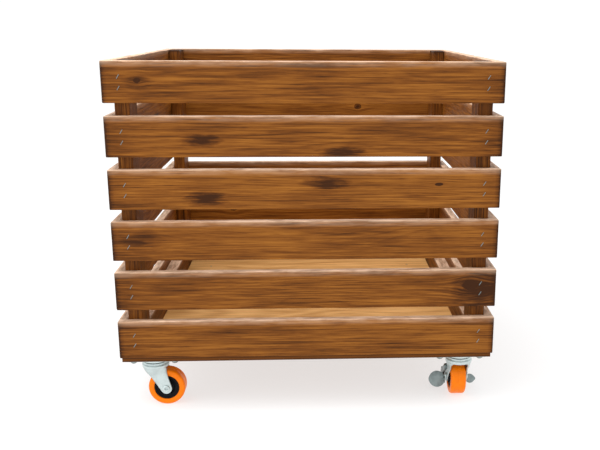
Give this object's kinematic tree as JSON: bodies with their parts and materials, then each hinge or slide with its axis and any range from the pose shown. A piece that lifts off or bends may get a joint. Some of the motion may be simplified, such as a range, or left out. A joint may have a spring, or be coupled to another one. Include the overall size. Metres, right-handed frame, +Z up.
{
  "type": "slatted crate on casters",
  "caption": "Open-topped square slatted wooden crate on swivel casters with orange wheels; the casters on one side have foot brakes.",
  "frame": {"origin": "on the floor under the middle of the crate, where the wheels touch the floor plane", "axes": "+X to the right along the front wall, +Y from the front wall to the back wall, +Z up"},
  "size_m": [0.5006, 0.4956, 0.466],
  "materials": {
    "slat_wood": "brown stained softwood, satin",
    "inner_wood": "dark stained softwood, satin",
    "panel_wood": "stained plywood, satin",
    "staple_wire": "galvanised wire",
    "screw_heads": "zinc plated",
    "zinc_steel": "bright zinc plated pressed steel",
    "brake_steel": "dull zinc plated pressed steel",
    "hub": "black moulded plastic",
    "tyre": "orange polyurethane, satin"
  },
  "bodies": {
    "crate": {"front_slat_1": "slat_wood", "front_slat_2": "slat_wood", "front_slat_3": "slat_wood", "front_slat_4": "slat_wood", "front_slat_5": "slat_wood", "front_slat_6": "slat_wood", "back_slat_1": "slat_wood", "back_slat_2": "slat_wood", "back_slat_3": "slat_wood", "back_slat_4": "slat_wood", "back_slat_5": "slat_wood", "back_slat_6": "slat_wood", "left_slat_1": "slat_wood", "left_slat_2": "slat_wood", "left_slat_3": "slat_wood", "left_slat_4": "slat_wood", "left_slat_5": "slat_wood", "left_slat_6": "slat_wood", "right_slat_1": "slat_wood", "right_slat_2": "slat_wood", "right_slat_3": "slat_wood", "right_slat_4": "slat_wood", "right_slat_5": "slat_wood", "right_slat_6": "slat_wood", "front_left_post": "inner_wood", "front_right_post": "inner_wood", "back_left_post": "inner_wood", "back_right_post": "inner_wood", "left_cleat": "inner_wood", "right_cleat": "inner_wood", "base_panel": "panel_wood", "staples": "staple_wire", "long_caster_screws": "screw_heads", "short_caster_screws": "screw_heads", "kingpins": "zinc_steel", "swivel_balls": "zinc_steel", "front_left_top_plate": "zinc_steel", "front_right_top_plate": "zinc_steel", "back_left_top_plate": "zinc_steel", "back_right_top_plate": "zinc_steel"},
    "front_left_swivel": {"front_left_fork": "zinc_steel", "front_left_axle": "zinc_steel"},
    "front_left_wheel": {"front_left_hub": "hub", "front_left_tyre": "tyre"},
    "front_right_swivel": {"front_right_fork": "zinc_steel", "front_right_axle": "zinc_steel", "front_right_brake_pins": "brake_steel"},
    "front_right_wheel": {"front_right_hub": "hub", "front_right_tyre": "tyre"},
    "front_right_brake": {"front_right_brake_lever": "brake_steel"},
    "back_left_swivel": {"back_left_fork": "zinc_steel", "back_left_axle": "zinc_steel"},
    "back_left_wheel": {"back_left_hub": "hub", "back_left_tyre": "tyre"},
    "back_right_swivel": {"back_right_fork": "zinc_steel", "back_right_axle": "zinc_steel", "back_right_brake_pins": "brake_steel"},
    "back_right_wheel": {"back_right_hub": "hub", "back_right_tyre": "tyre"},
    "back_right_brake": {"back_right_brake_lever": "brake_steel"}
  },
  "joints": [
    {"name": "front_left_turn", "type": "hinge", "parent": "crate", "child": "front_left_swivel", "pos_m": [-0.21, -0.2125, 0.0622], "axis": [0, 0, 1], "continuous": true},
    {"name": "front_left_roll", "type": "hinge", "parent": "front_left_swivel", "child": "front_left_wheel", "pos_m": [-0.195, -0.2125, 0.025], "axis": [0, 1, 0], "continuous": true},
    {"name": "front_right_turn", "type": "hinge", "parent": "crate", "child": "front_right_swivel", "pos_m": [0.21, -0.2125, 0.0622], "axis": [0, 0, 1], "continuous": true},
    {"name": "front_right_roll", "type": "hinge", "parent": "front_right_swivel", "child": "front_right_wheel", "pos_m": [0.21, -0.1975, 0.025], "axis": [-1, 0, 0], "continuous": true},
    {"name": "front_right_brake_press", "type": "hinge", "parent": "front_right_swivel", "child": "front_right_brake", "pos_m": [0.21, -0.198, 0.04], "axis": [-1, 0, 0], "range_deg": [0, 13]},
    {"name": "back_left_turn", "type": "hinge", "parent": "crate", "child": "back_left_swivel", "pos_m": [-0.21, 0.2125, 0.0622], "axis": [0, 0, 1], "continuous": true},
    {"name": "back_left_roll", "type": "hinge", "parent": "back_left_swivel", "child": "back_left_wheel", "pos_m": [-0.195, 0.2125, 0.025], "axis": [0, 1, 0], "continuous": true},
    {"name": "back_right_turn", "type": "hinge", "parent": "crate", "child": "back_right_swivel", "pos_m": [0.21, 0.2125, 0.0622], "axis": [0, 0, 1], "continuous": true},
    {"name": "back_right_roll", "type": "hinge", "parent": "back_right_swivel", "child": "back_right_wheel", "pos_m": [0.21, 0.1975, 0.025], "axis": [1, 0, 0], "continuous": true},
    {"name": "back_right_brake_press", "type": "hinge", "parent": "back_right_swivel", "child": "back_right_brake", "pos_m": [0.21, 0.198, 0.04], "axis": [1, 0, 0], "range_deg": [0, 13]}
  ]
}
